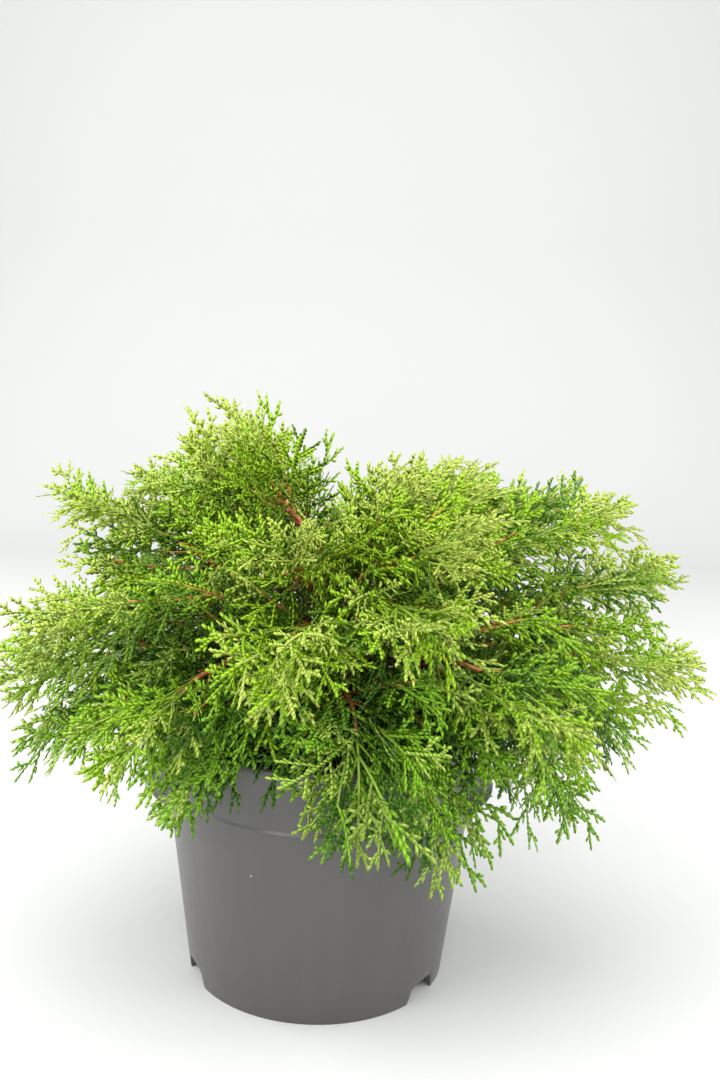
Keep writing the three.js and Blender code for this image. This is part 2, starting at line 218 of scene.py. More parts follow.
# %% Helper for materials
class Finish:
    """A material under construction: its nodes, its shader, and noises of a real size."""

    def __init__(self, name, colour, roughness):
        self.material = bpy.data.materials.new(name)
        self.material.use_nodes = True
        self.nodes = self.material.node_tree.nodes
        self.links = self.material.node_tree.links
        self.shader = self.nodes["Principled BSDF"]
        self.shader.inputs["Base Color"].default_value = screen_colour(*colour)
        self.shader.inputs["Roughness"].default_value = roughness
        self.place = self.nodes.new("ShaderNodeTexCoord").outputs["Object"]

    def node(self, kind, inputs):
        """A new node, with each of these inputs linked to a result or set to a value."""
        node = self.nodes.new("ShaderNode" + kind)
        for name, given in inputs.items():
            if isinstance(given, bpy.types.NodeSocket):
                self.links.new(given, node.inputs[name])
            else:
                node.inputs[name].default_value = given
        return node

    def noise(self, size_mm, detail=4.0, stretch=(1, 1, 1)):
        """Noise whose lumps are about size_mm across, stretched along the axes."""
        mapping = self.node("Mapping", {"Vector": self.place, "Scale": [1 / value for value in stretch]})
        stretched = mapping.outputs["Vector"]
        noise = self.node("TexNoise", {"Vector": stretched, "Scale": 1 / (size_mm * MM), "Detail": detail})
        return noise.outputs["Fac"]

    def specks(self, spacing_mm, size_share):
        """Round specks at about that spacing, as 1 inside a speck and 0 outside."""
        cells = self.node("TexVoronoi", {"Vector": self.place, "Scale": 1 / (spacing_mm * MM)})
        inside = self.node("Math", {0: cells.outputs["Distance"], 1: size_share})
        inside.operation = "LESS_THAN"
        return inside.outputs[0]

    def ramp(self, amount, stops):
        """Colours along an amount: (place from 0 to 1, screen colour) each."""
        ramp = self.node("ValToRGB", {"Fac": amount})
        points = ramp.color_ramp.elements
        while len(points) < len(stops):
            points.new(0.5)
        for point, (place, colour) in zip(points, stops):
            point.position = place
            point.color = screen_colour(*colour)
        return ramp.outputs["Color"]

    def mixed(self, amount, first, second_colour):
        """The first colour turned into the second where the amount is 1."""
        mix = self.nodes.new("ShaderNodeMix")
        mix.data_type = "RGBA"
        self.links.new(amount, mix.inputs["Factor"])
        self.links.new(first, mix.inputs["A"])
        mix.inputs["B"].default_value = screen_colour(*second_colour)
        return mix.outputs["Result"]

    def set_colour(self, colour):
        self.links.new(colour, self.shader.inputs["Base Color"])

    def vary_roughness(self, amount, low, high):
        """Roughness that follows an amount of 0 to 1 from low to high."""
        spread = self.node("MapRange", {"Value": amount, "To Min": low, "To Max": high})
        self.links.new(spread.outputs["Result"], self.shader.inputs["Roughness"])

    def add_relief(self, height, depth_mm):
        """Relief of that depth, laid on any relief that is there already."""
        bump = self.node("Bump", {"Height": height, "Distance": depth_mm * MM})
        before = self.shader.inputs["Normal"].links
        if before:
            self.links.new(before[0].from_socket, bump.inputs["Normal"])
        self.links.new(bump.outputs["Normal"], self.shader.inputs["Normal"])


def mottled(name, colour, roughness, tone_noise, stops, relief_noise, depth_mm):
    """A material whose colour follows one noise and whose relief follows a finer one."""
    finish = Finish(name, colour, roughness)
    finish.set_colour(finish.ramp(finish.noise(*tone_noise), stops))
    finish.add_relief(finish.noise(*relief_noise), depth_mm)
    return finish.material


# %% [markdown]
# The camera stands a little under a metre in front of the pot, above the crown, and looks down. It has a
# slight turn and tilt, as a camera held by hand has. Its matrix is worked out from those angles.

# %% Camera
CAMERA_PLACE = (0.0, -0.9396, 0.5563)
CAMERA_DOWN = 13.69
CAMERA_TURN = 1.43
CAMERA_TILT = math.radians(1.92)
CAMERA_LENS = 45.23

forward = Vector(direction(90 - CAMERA_TURN, -CAMERA_DOWN))
level_right = Vector(direction(-CAMERA_TURN, 0))
level_up = level_right.cross(forward)
right = math.cos(CAMERA_TILT) * level_right + math.sin(CAMERA_TILT) * level_up
up = math.cos(CAMERA_TILT) * level_up - math.sin(CAMERA_TILT) * level_right

camera_data = bpy.data.cameras.new("camera")
camera_data.lens = CAMERA_LENS
camera = bpy.data.objects.new("camera", camera_data)
bpy.context.scene.collection.objects.link(camera)
turned = Matrix((right, up, -forward)).transposed().to_4x4()
camera.matrix_world = Matrix.Translation(CAMERA_PLACE) @ turned
bpy.context.scene.camera = camera
print("Camera lens:", CAMERA_LENS, "mm")

# %% [markdown]
# The plant stands on a pale sheet that bends up behind it so that no line shows: a plane whose far edge is
# extruded upwards and then bevelled round.

# %% Floor and sweep
FLOOR_HALF = 2400
SWEEP_Y = 1700
SWEEP_BEND = 500

bpy.ops.mesh.primitive_plane_add(size=2 * FLOOR_HALF * MM, location=(0, (SWEEP_Y - FLOOR_HALF) * MM, 0))
floor = bpy.context.object
floor.name = "floor"
settle(floor)
edit(floor)
select_points(floor, lambda place: place.y > SWEEP_Y - 1)
bpy.ops.mesh.extrude_edges_move(TRANSFORM_OT_translate={"value": (0, 0, FLOOR_HALF * MM)})
select_points(floor, lambda place: place.y > SWEEP_Y - 1 and place.z < 1)
bpy.ops.mesh.bevel(offset=SWEEP_BEND * MM, segments=12, affect="EDGES")
leave_edit()
shade_smooth(floor, 60)

paper = Finish("pale_paper", (184, 185, 184), 0.9)
paper.add_relief(paper.noise(4), 0.05)
floor.data.materials.append(paper.material)
floor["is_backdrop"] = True
print("Floor:", len(floor.data.polygons), "faces")

# %% [markdown]
# The light is soft and comes from all round, with a little more from the left. Most of it is a white world,
# which keeps the shadows open. Broad panels add the rest: four in front and above model the leaves, and two
# low ones at the sides brighten the pot's edges.

# %% Light
PANELS = [
    # name, place in metres, side in metres, watts
    ("panel_left", (-1.2, -0.8, 1.3), 1.2, 22),
    ("panel_right", (1.3, -0.7, 1.1), 1.2, 13),
    ("panel_top", (0.0, -0.1, 1.6), 1.4, 18),
    ("panel_front", (0.0, -1.4, 0.8), 1.0, 8),
    ("edge_left", (-1.3, 0.4, 0.4), 1.0, 21),
    ("edge_right", (1.4, 0.4, 0.4), 1.0, 15),
]
AIM = Vector((0, 0, 0.25))
WORLD_LIGHT = 0.96

for name, place, side, watts in PANELS:
    panel_data = bpy.data.lights.new(name, "AREA")
    panel_data.size = side
    panel_data.energy = watts
    panel = bpy.data.objects.new(name, panel_data)
    panel.location = place
    panel.rotation_euler = (AIM - Vector(place)).to_track_quat("-Z", "Y").to_euler()
    bpy.context.scene.collection.objects.link(panel)

world = bpy.data.worlds.new("white_room")
world.use_nodes = True
background = world.node_tree.nodes["Background"].inputs
background["Color"].default_value = (1, 1, 1, 1)
background["Strength"].default_value = WORLD_LIGHT
bpy.context.scene.world = world
bpy.context.scene.view_settings.view_transform = "Standard"
print("Light panels:", len(PANELS))

# %% [markdown]
# The pot is moulded in one piece: a thin cone with a raised foot channel below, a fine bead where it
# widens, and a small lip at the rim. As by hand, a disc is drawn out ring by ring with extrude and scale.

# %% Pot: sizes and body
POT_HEIGHT = 197.5
POT_WALL = 2.0
FOOT_RADIUS = 95.8
BEAD_Z = 151.5
BEAD_RADIUS = 113.2
RIM_RADIUS = 115.5
BEAD_HEIGHT = 1.8
BEAD_PROUD = 1.5
LIP_HEIGHT = 5.0
LIP_PROUD = 1.6
DISC_RADIUS = 66.0
CHANNEL_OUTER = 89.0
CHANNEL_HEIGHT = 8.0
CHANNEL_SLOPE = 4.0
POT_FLOOR = 2.2
POT_SEGMENTS = 160


def pot_radius(z):
    """Radius of the pot's outer wall at a height."""
    return float(np.interp(z, (0, BEAD_Z, POT_HEIGHT), (FOOT_RADIUS, BEAD_RADIUS, RIM_RADIUS)))


def on_wall(z, inwards=0):
    """A ring of the pot's outer wall, or of one further in."""
    return pot_radius(z) - inwards, z


def drawn_out(name, rings, segments):
    """A closed round piece: a disc at the first (radius, height), drawn out through all the others."""
    radius, z = rings[0]
    bpy.ops.mesh.primitive_circle_add(
        vertices=segments, radius=radius * MM, fill_type="NGON", location=(0, 0, z * MM)
    )
    piece = bpy.context.object
    piece.name = name
    settle(piece)
    edit(piece)
    bpy.ops.mesh.select_all(action="SELECT")
    for next_radius, next_z in rings[1:]:
        bpy.ops.mesh.extrude_region_move(TRANSFORM_OT_translate={"value": (0, 0, (next_z - z) * MM)})
        share = next_radius / radius
        bpy.ops.transform.resize(value=(share, share, 1), center_override=(0, 0, next_z * MM))
        radius, z = next_radius, next_z
    leave_edit()
    return piece


bead_low = BEAD_Z - BEAD_HEIGHT / 2
bead_high = BEAD_Z + BEAD_HEIGHT / 2
bead_out = BEAD_RADIUS + BEAD_PROUD
lip_low = POT_HEIGHT - LIP_HEIGHT
lip_out = pot_radius(lip_low) + LIP_PROUD
roof = CHANNEL_HEIGHT + POT_FLOOR

pot_rings = [
    (DISC_RADIUS, 0), (DISC_RADIUS + CHANNEL_SLOPE, CHANNEL_HEIGHT), (CHANNEL_OUTER, CHANNEL_HEIGHT),
    on_wall(0, POT_WALL), on_wall(0), on_wall(20), on_wall(80), on_wall(bead_low - 3),
    on_wall(bead_low - 0.6), (bead_out, bead_low + 0.3), (bead_out, bead_high - 0.8),
    on_wall(bead_high + 0.9), on_wall(175),
    on_wall(lip_low), (lip_out, lip_low + 0.4), (lip_out, POT_HEIGHT - 1.2), (lip_out - 1.0, POT_HEIGHT),
    on_wall(POT_HEIGHT, POT_WALL), on_wall(bead_high, POT_WALL), on_wall(80, POT_WALL),
    on_wall(roof + 4, POT_WALL),
    (CHANNEL_OUTER - 1, roof), (DISC_RADIUS + 3, roof), (DISC_RADIUS - 1, POT_FLOOR),
]
pot = drawn_out("nursery_pot", pot_rings, POT_SEGMENTS)
print("Pot body:", len(pot.data.vertices), "points")

# %% [markdown]
# On the left and the right the bead widens into a carrying lug: a thin wing that droops a little at its
# edge. All but the bead's edge is hidden, and the edge's middle is pulled out with proportional editing, so
# the points beside it follow less and less.

# %% Pot: carrying lugs
LUG_AZIMUTHS = [-3, 183]
LUG_REACH = 13.0
LUG_DROOP = 5.0
LUG_SPREAD = 72.0  # how far along the bead the pull is felt


def azimuth_of(place):
    return math.degrees(math.atan2(place[1], place[0]))


def turn_between(first, second):
    """Difference between two azimuths, from -180 to 180 degrees."""
    return (first - second + 540) % 360 - 180


def on_bead(place):
    return math.hypot(place.x, place.y) > bead_out - 0.05 and abs(place.z - BEAD_Z) < BEAD_HEIGHT


edit(pot)
for lug in LUG_AZIMUTHS:
    select_points(pot, on_bead)
    bpy.ops.mesh.hide(unselected=True)
    select_points(pot, lambda place: on_bead(place) and abs(turn_between(azimuth_of(place), lug)) < 4)
    bpy.ops.transform.translate(
        value=around(lug, LUG_REACH, -LUG_DROOP) * MM,
        use_proportional_edit=True,
        proportional_edit_falloff="SPHERE",
        proportional_size=LUG_SPREAD * MM,
    )
    bpy.ops.mesh.reveal(select=False)
leave_edit()
print("Pot width over the lugs:", round(pot.dimensions.x / MM, 1), "mm")

# %% [markdown]
# Three arched notches are cut through the foot so that water can leave. The cutter is a box with its upper
# corners bevelled round and its foot spread, and a boolean takes it out of the wall. A small hole near the
# edge of the left lug is cut the same way.

# %% Pot: notches, hole and edges
NOTCH_AZIMUTHS = [-36.5, 83.5, 203.5]
NOTCH_WIDTH = 27.0
NOTCH_HEIGHT = 14.0
NOTCH_DEPTH = 30.0
NOTCH_CORNER = 7.0
NOTCH_SPLAY = 1.5
HOOK_HOLE = 2.0
HOOK_HOLE_TURN = 20  # how far along the left lug from its middle


def notch_cutter(azimuth):
    """A box with round upper corners and a splayed foot, set across the pot's foot."""
    bpy.ops.mesh.primitive_cube_add(size=1)
    cutter = bpy.context.object
    cutter.scale = (NOTCH_DEPTH * MM, NOTCH_WIDTH * MM, 2 * NOTCH_HEIGHT * MM)
    settle(cutter)
    edit(cutter)
    cage = bmesh.from_edit_mesh(cutter.data)
    bpy.ops.mesh.select_all(action="DESELECT")
    bpy.ops.mesh.select_mode(type="EDGE")
    for edge in cage.edges:
        middle = (edge.verts[0].co + edge.verts[1].co) / 2
        edge.select = middle.z > 0.9 * NOTCH_HEIGHT * MM and abs(middle.y) > 0.4 * NOTCH_WIDTH * MM
    bmesh.update_edit_mesh(cutter.data)
    bpy.ops.mesh.bevel(offset=NOTCH_CORNER * MM, segments=6, affect="EDGES")
    bpy.ops.mesh.select_mode(type="VERT")
    select_points(cutter, lambda place: place.z < 0)
    bpy.ops.transform.resize(value=(1, NOTCH_SPLAY, 1), center_override=(0, 0, 0))
    leave_edit()
    cutter.rotation_euler = (0, 0, math.radians(azimuth))
    cutter.location = around(azimuth, FOOT_RADIUS) * MM
    settle(cutter)
    return cutter


def cut_away(piece, cutter):
    apply_modifier(piece, "BOOLEAN", operation="DIFFERENCE", solver="EXACT", object=cutter)
    bpy.data.objects.remove(cutter)


for azimuth in NOTCH_AZIMUTHS:
    cut_away(pot, notch_cutter(azimuth))

hole_place = around(LUG_AZIMUTHS[1] + HOOK_HOLE_TURN, bead_out + 6, BEAD_Z - 3) * MM
bpy.ops.mesh.primitive_cylinder_add(vertices=24, radius=HOOK_HOLE * MM, depth=20 * MM, location=hole_place)
cut_away(pot, bpy.context.object)
face_outwards(pot)
apply_modifier(pot, "BEVEL", width=0.35 * MM, segments=2, limit_method="ANGLE", angle_limit=math.radians(28))
shade_smooth(pot, 32)
print("Finished pot:", len(pot.data.polygons), "faces")

# %% [markdown]
# The plastic is a warm grey with a satin face. Close up it is not even: the moulding leaves a fine grain
# and faint upright flow marks, and a little dust and a few dark specks stick to it.

# %% Pot: satin plastic
plastic = Finish("grey_plastic", (64, 62, 60), 0.4)
flow = plastic.noise(14, 3.0, stretch=(1, 1, 9))
tone = plastic.ramp(flow, [(0.3, (62, 60, 58)), (0.7, (66, 64, 62))])
tone = plastic.mixed(plastic.specks(17, 0.035), tone, (62, 58, 54))
tone = plastic.mixed(plastic.specks(29, 0.02), tone, (190, 188, 184))
plastic.set_colour(tone)
plastic.vary_roughness(plastic.noise(9), 0.3, 0.42)
plastic.shader.inputs["Specular IOR Level"].default_value = 0.9
plastic.add_relief(plastic.noise(0.9), 0.05)
plastic.add_relief(flow, 0.25)
hand_over(pot, plastic.material, "pot", ["pot"])

# %% [markdown]
# The pot is filled with potting mix to a low dome: a dark crust with coarse bits of bark on it. The crust
# is drawn out in rings like the pot and made lumpy by a Displace modifier with a cloud texture, and the bits
# are a few hundred lumps in one mesh.

# %% Potting mix: crust
SOIL_EDGE_Z = 183.0
SOIL_DOME_Z = 187.0
SOIL_GAP = 0.5
SOIL_BANDS = 18
SOIL_RELIEF = 5.0

soil_inwards = POT_WALL + SOIL_GAP + 0.6
soil_edge = pot_radius(SOIL_EDGE_Z) - soil_inwards


def soil_height(share):
    """Height of the dome at a share of the way from its middle to its edge."""
    return SOIL_EDGE_Z + (SOIL_DOME_Z - SOIL_EDGE_Z) * math.sqrt(max(0, 1 - share**2))


soil_rings = [
    (DISC_RADIUS - 4, POT_FLOOR + SOIL_GAP), (DISC_RADIUS + 1, roof + SOIL_GAP + 0.5),
    (CHANNEL_OUTER - 5, roof + SOIL_GAP + 0.5), on_wall(roof + 6, soil_inwards + 0.9),
    on_wall(BEAD_Z, soil_inwards), (soil_edge, SOIL_EDGE_Z - 3),
]
for band in range(SOIL_BANDS):
    share = 1 - band / SOIL_BANDS
    soil_rings.append((soil_edge * share, soil_height(share)))
mix = drawn_out("potting_mix_crust", soil_rings, 90)
face_outwards(mix)

top = mix.vertex_groups.new(name="top")
top.add([v.index for v in mix.data.vertices if v.co.z > (SOIL_EDGE_Z - 1) * MM], 1.0, "REPLACE")
clods = bpy.data.textures.new("clods", "CLOUDS")
clods.noise_scale = 9 * MM
clods.noise_depth = 3
apply_modifier(
    mix, "DISPLACE", texture=clods, texture_coords="LOCAL", direction="Z", strength=SOIL_RELIEF * MM,
    vertex_group="top",
)
shade_smooth(mix, 50)
print("Crust:", len(mix.data.polygons), "faces")

# %% Potting mix: bits of bark on the crust
BITS = 420
BIT_SIZES = (2.0, 5.5)
BIT_FORM = np.array([1.4, 0.9, 0.55])  # length, breadth and thickness against the size

chance = np.random.default_rng(7)
bpy.ops.mesh.primitive_ico_sphere_add(subdivisions=1, radius=1)
model_bit = bpy.context.object
bit_points = np.array([list(v.co) for v in model_bit.data.vertices])
bit_faces = np.array([list(p.vertices) for p in model_bit.data.polygons])
bpy.data.objects.remove(model_bit)

all_bits = []
for _ in range(BITS):
    radius = (soil_edge - 8) * math.sqrt(chance.random())
    azimuth = chance.random() * 360
    size = chance.uniform(*BIT_SIZES)
    lumps = chance.uniform(0.75, 1.2, (len(bit_points), 1))
    swing = chance.random() * 2 * math.pi
    rock = chance.normal(0, 0.35)
    turned = np.array(Matrix.Rotation(swing, 3, "Z") @ Matrix.Rotation(rock, 3, "X"))
    place = around(azimuth, radius, soil_height(radius / soil_edge) + 0.4)
    all_bits.append((bit_points * lumps * BIT_FORM * (size / 2) @ turned.T + place, bit_faces))
bits = mesh_piece("potting_mix_bits", *joined(all_bits))
print("Bits of bark:", BITS)

# %% Potting mix: dark crumbs
CRUMB_TONES = [(0.3, (24, 18, 14)), (0.55, (52, 39, 29)), (0.75, (88, 66, 47))]
CHIP_TONES = [(0.3, (46, 32, 23)), (0.7, (112, 80, 54))]

crumbs = mottled("dark_crumbs", (46, 35, 27), 0.95, (6, 8.0), CRUMB_TONES, (2.2, 6.0), 0.9)
hand_over(mix, crumbs, "potting_mix", ["potting_mix"])
chips = mottled("bark_bits", (84, 60, 42), 0.9, (3, 5.0), CHIP_TONES, (0.8, 4.0), 0.3)
hand_over(bits, chips, "potting_mix")

# %% [markdown]
# The plant now grows by the rule that drew its CAD solids. A short trunk carries limbs in five tiers, from
# an upright leader to a skirt over the rim. Each limb is one Bezier curve: its inner third is a woody
# bough, and the rest is the stem of one mass of foliage. Chance is seeded, so the plant is always the same.

# %% The plant's rule: chance and curves
SEED = 2
GROUND_Z = SOIL_DOME_Z + 0.3
TRUNK_HEIGHT = 108.0
TRUNK_LEAN = 6.0
BEND_STEP = 1e-3  # how far apart two points of a curve show its direction
UP = np.array([0.0, 0.0, 1.0])


def seeded(seed):
    """A repeatable source of numbers from 0 to 1."""
    state = ((seed + SEED * 1000003) * 7919) % 2**32

    def draw():
        nonlocal state
        state = (state * 1664525 + 1013904223) % 2**32
        return state / 2**32

    return draw


def unit(vector):
    return vector / np.linalg.norm(vector)


def turned_about(vector, axis, angle):
    """The vector turned about a unit axis by an angle in degrees."""
    a = math.radians(angle)
    return (
        vector * math.cos(a) + np.cross(axis, vector) * math.sin(a)
        + axis * np.dot(axis, vector) * (1 - math.cos(a))
    )


def leaving(ahead, side, lift, roll, opened):
    """The way out of a stem, opened from its direction and rolled about it, and the way across."""
    roll, opened = math.radians(roll), math.radians(opened)
    across = side * math.cos(roll) + lift * math.sin(roll)
    return ahead * math.cos(opened) + across * math.sin(opened), across


class Bend:
    """A Bezier curve through control points, with a level direction that steadies its frame."""

    def __init__(self, controls, level):
        self.controls = [np.asarray(point, float) for point in controls]
        self.level = level

    def point(self, share):
        points = self.controls
        while len(points) > 1:
            points = [a + (b - a) * share for a, b in zip(points, points[1:])]
        return points[0]

    def frame(self, share):
        """Place, direction, side direction and lift direction at a share of the curve."""
        low, high = max(share - BEND_STEP, 0.0), min(share + BEND_STEP, 1.0)
        ahead = unit(self.point(high) - self.point(low))
        side = unit(np.cross(ahead, self.level))
        return self.point(share), ahead, side, np.cross(side, ahead)


# %% The plant's rule: trunk and limbs
START_PULL = 0.42
BOUGH_SHARE = 0.33
STEM_END = 0.84

# Tier name, rise, end pull, the two starts above the ground, and each limb's azimuth, reach, height and rise.
TIERS = [
    ("leader", 88, 0.4, (106, 106), [(176, 60, 408, 80)]),
    ("crest", 56, 0.4, (76, 88), [
        (164, 98, 392, 58), (350, 58, 372, 62), (16, 106, 370, 52), (250, 104, 352, 32), (318, 126, 352, 34),
    ]),
    ("shoulder", 46, 0.4, (52, 62), [
        (8, 222, 358, 30), (30, 190, 352, 36), (78, 200, 318, 26), (147, 160, 362, 38),
        (168, 196, 350, 20), (194, 214, 254, -24), (256, 156, 268, -34), (294, 160, 304, -8),
    ]),
    ("waist", 40, 0.4, (30, 40), [
        (354, 270, 250, 4), (10, 268, 302, 20), (66, 246, 250, 4), (138, 242, 248, -4),
        (184, 228, 208, -26), (222, 190, 198, -42), (324, 212, 228, -30),
    ]),
    ("skirt", 46, 0.74, (10, 18), [
        (346, 204, 136, -48), (6, 248, 174, -28), (104, 206, 140, -44), (186, 222, 170, -32),
        (230, 146, 164, -66), (280, 146, 160, -76), (308, 152, 132, -72),
    ]),
]

trunk_line = Bend(
    [
        (0, 0, GROUND_Z),
        (TRUNK_LEAN, 0, GROUND_Z + TRUNK_HEIGHT / 2),
        (-TRUNK_LEAN, 0, GROUND_Z + TRUNK_HEIGHT),
    ],
    np.array([0.0, 1.0, 0.0]),
)


class Limb:
    """One limb: its tier, its place in the order, its CAD name and its curve."""

    def __init__(self, tier, rise, end_pull, starts, row, order, number):
        azimuth, reach, height, tip_rise = row
        draw = seeded(order + 1)
        start = trunk_line.point(starts[order % 2] / TRUNK_HEIGHT)
        tip = around(azimuth, reach, height)
        span = np.linalg.norm(tip - start)
        sway = np.cross(UP, direction(azimuth, 0)) * (draw() - 0.5) * 0.1 * span
        first = start + direction(azimuth, rise) * START_PULL * span + sway
        last = tip - direction(azimuth, tip_rise) * end_pull * span + sway
        self.tier, self.order, self.tip = tier, order, tip
        self.name = f"{tier}_{number}"
        self.curve = Bend([start, first, last, tip], direction(azimuth, 0 if rise > 80 else 90))
        self.top_z = max(self.curve.point(share)[2] for share in np.linspace(BOUGH_SHARE, 1, 9))


limbs = []
for tier, rise, end_pull, starts, rows in TIERS:
    for number, row in enumerate(rows, 1):
        limbs.append(Limb(tier, rise, end_pull, starts, row, len(limbs), number))
print("Limbs:", len(limbs), "reach up to", round(max(limb.tip[2] for limb in limbs)), "mm")

# %% [markdown]
# Old wood on this plant is reddish brown and its bark lifts in thin shreds. A tube is laid along the trunk
# and each bough, all of them are fused by a voxel remesh, which gives soft crotches where they meet, and
# two Displace modifiers raise the shreds.

# %% Trunk and boughs: tubes along the curves
TRUNK_FLARE = 17.0
TRUNK_RADII = (11.5, 6.0)
FLARE_HEIGHT = 16.0
BOUGH_RADII = (4.4, 2.6)


def tube(places, sides_of, radii, sides):
    """A closed tube through places, with a side and lift direction and a radius at each."""
    turns = np.arange(sides) * 2 * math.pi / sides
    rings = [
        place + radius * (np.outer(np.cos(turns), side) + np.outer(np.sin(turns), lift))
        for place, (side, lift), radius in zip(places, sides_of, radii)
    ]
    start = len(rings) * sides  # the middle of the first end, and after it that of the last
    last = start - sides
    faces = []
    for k in range(sides):
        after = (k + 1) % sides
        faces += [(start, k, after), (start + 1, last + after, last + k)]
        for ring in range(0, last, sides):
            a, b = ring + k, ring + after
            faces += [(a, a + sides, b), (b, a + sides, b + sides)]
    return np.concatenate([*rings, [places[0], places[-1]]]), np.array(faces)


def tube_along(curve, start, end, radius_at, steps, sides):
    """A tube along a curve between two shares, with a radius for each share of the way."""
    places, _, side, lift = zip(*[curve.frame(share) for share in np.linspace(start, end, steps + 1)])
    radii = [radius_at(way) for way in np.linspace(0, 1, steps + 1)]
    return tube(places, zip(side, lift), radii, sides)


def trunk_radius(way):
    flare = (TRUNK_FLARE - TRUNK_RADII[0]) * math.exp(-3 * way * TRUNK_HEIGHT / FLARE_HEIGHT)
    return even(TRUNK_RADII, way) + flare


def tapering(radii):
    """A radius that goes evenly from root to tip."""
    return lambda way: even(radii, way)


wood = [tube_along(trunk_line, 0, 1, trunk_radius, 40, 20)]
wood += [tube_along(limb.curve, 0, BOUGH_SHARE + 0.02, tapering(BOUGH_RADII), 10, 8) for limb in limbs]
bark = mesh_piece("trunk_and_boughs", *joined(wood))
face_outwards(bark)
print("Wood to fuse:", len(wood), "tubes")

# %% Trunk and boughs: fusing and relief
VOXEL = 1.3
SHRED_DEPTH = 1.8
CRACK_DEPTH = 0.9

bark.data.remesh_voxel_size = VOXEL * MM
make_active(bark)
bpy.ops.object.voxel_remesh()
shreds = bpy.data.textures.new("shreds", "CLOUDS")
shreds.noise_scale = 7 * MM
cracks = bpy.data.textures.new("cracks", "STUCCI")
cracks.noise_scale = 3 * MM
for relief, depth, level in ((shreds, SHRED_DEPTH, 0.55), (cracks, CRACK_DEPTH, 0.5)):
    apply_modifier(
        bark, "DISPLACE", texture=relief, texture_coords="LOCAL", strength=depth * MM, mid_level=level
    )
shade_smooth(bark, 60)
print("Bark:", len(bark.data.polygons), "faces")

# %% Trunk and boughs: shredding bark
shredded = Finish("shredding_bark", (112, 76, 52), 0.85)
strips = shredded.noise(2.4, 7.0, stretch=(1, 1, 5))
shredded.set_colour(
    shredded.ramp(strips, [(0.3, (52, 36, 26)), (0.5, (104, 70, 46)), (0.72, (158, 112, 76))])
)
shredded.vary_roughness(shredded.noise(3), 0.7, 0.95)
shredded.add_relief(strips, 0.8)
shredded.add_relief(shredded.noise(0.5, 3.0), 0.15)
wood_nodes = ["trunk"] + [f"bough_{limb.name}" for limb in limbs]
hand_over(bark, shredded.material, "bark", wood_nodes)

# %% [markdown]
# The leaves are scales that lie flat on their shoots, so one sees green shoots that fork again and again in
# one plane. The smallest part that shows is a shoot end a few millimetres long. It is drawn as a kite with a
# keel: four triangles, closed and opaque. One side is widest near the root and the other near the tip, so
# the kite is about as broad as a real shoot all along.
#
# A whole spray is then one rule used on itself: a long shoot forks into plumes to the left and right by
# turns, a long plume does the same, and a short one carries shoot ends like the teeth of a comb. Sprays of
# several lengths are drawn once and copied.

# %% Leaves: one shoot end
STRIP_WIDTH = 3.06  # of the kites along a shoot, and of the shoot ends
END_WIDTH = 2.89
SHOOT_KEEL = 0.25
STRIP_LENGTH = 3.6  # one kite covers about this much of a shoot's own length
WIDEST_AT = (0.38, 0.8)  # on one side and on the other, as shares of the length

# The four faces of a kite, over its root, its left and right points and its tip.
KITE_FACES = np.array([(0, 2, 1), (3, 1, 2), (0, 1, 3), (0, 3, 2)])


def kite_points(roots, aheads, lengths, widths, keels):
    """The four points of each kite, from columns of roots, unit directions, lengths and widths."""
    sides = np.cross(UP, aheads)
    sides /= np.linalg.norm(sides, axis=1, keepdims=True)
    near, far = WIDEST_AT
    across = sides * widths / 2
    ridge = np.cross(aheads, sides) * keels
    return np.stack([
        roots - ridge / 2,
        roots + aheads * lengths * near + across + ridge,
        roots + aheads * lengths * far - across + ridge,
        roots + aheads * lengths - ridge / 2,
    ], axis=1)


# %% Leaves: one flat spray
WIDTH_SPREAD = (0.85, 1.15)  # chance in the breadth of a kite, and in the length of what forks off
FORK_SPREAD = (0.8, 1.15)
STRIP_OVERLAP = 1.9  # length of a kite against its way along the shoot
CURL = 14  # the most that a shoot curls, in degrees
PLUME_OVER = 30.0  # a shoot longer than this forks into plumes, and a shorter one carries shoot ends
PLUME_PITCH = 0.1  # way between one plume and the next, as a share of the shoot, and what is added to it
PLUME_PITCH_ADDED = 3.9
PLUME_SHARE = 0.38  # the longest plume against the shoot, and what is added to it
PLUME_ADDED = 3.0
PLUME_ANGLES = (48, 34)  # angle between a shoot and its first and last plume
FORK_FIRST = 0.62  # length of a shoot's first fork against its longest, and how fast that grows
FORK_GAIN = 1.6
FORK_FULL = 0.22  # way along the shoot where its forks start to get shorter, and how much they lose
FORK_LOSS = 0.86
END_PITCH = 4.7  # the same for shoot ends
END_SHARE = 0.14
END_ADDED = 5.6
END_ANGLES = (40, 34)


def fork_length(way):
    """Length of what forks off along a shoot: quickly full, then tapering to the tip."""
    taper = max(0.0, way - FORK_FULL) / (1 - FORK_FULL)
    return min(1.0, FORK_FIRST + FORK_GAIN * way) * (1 - FORK_LOSS * taper)


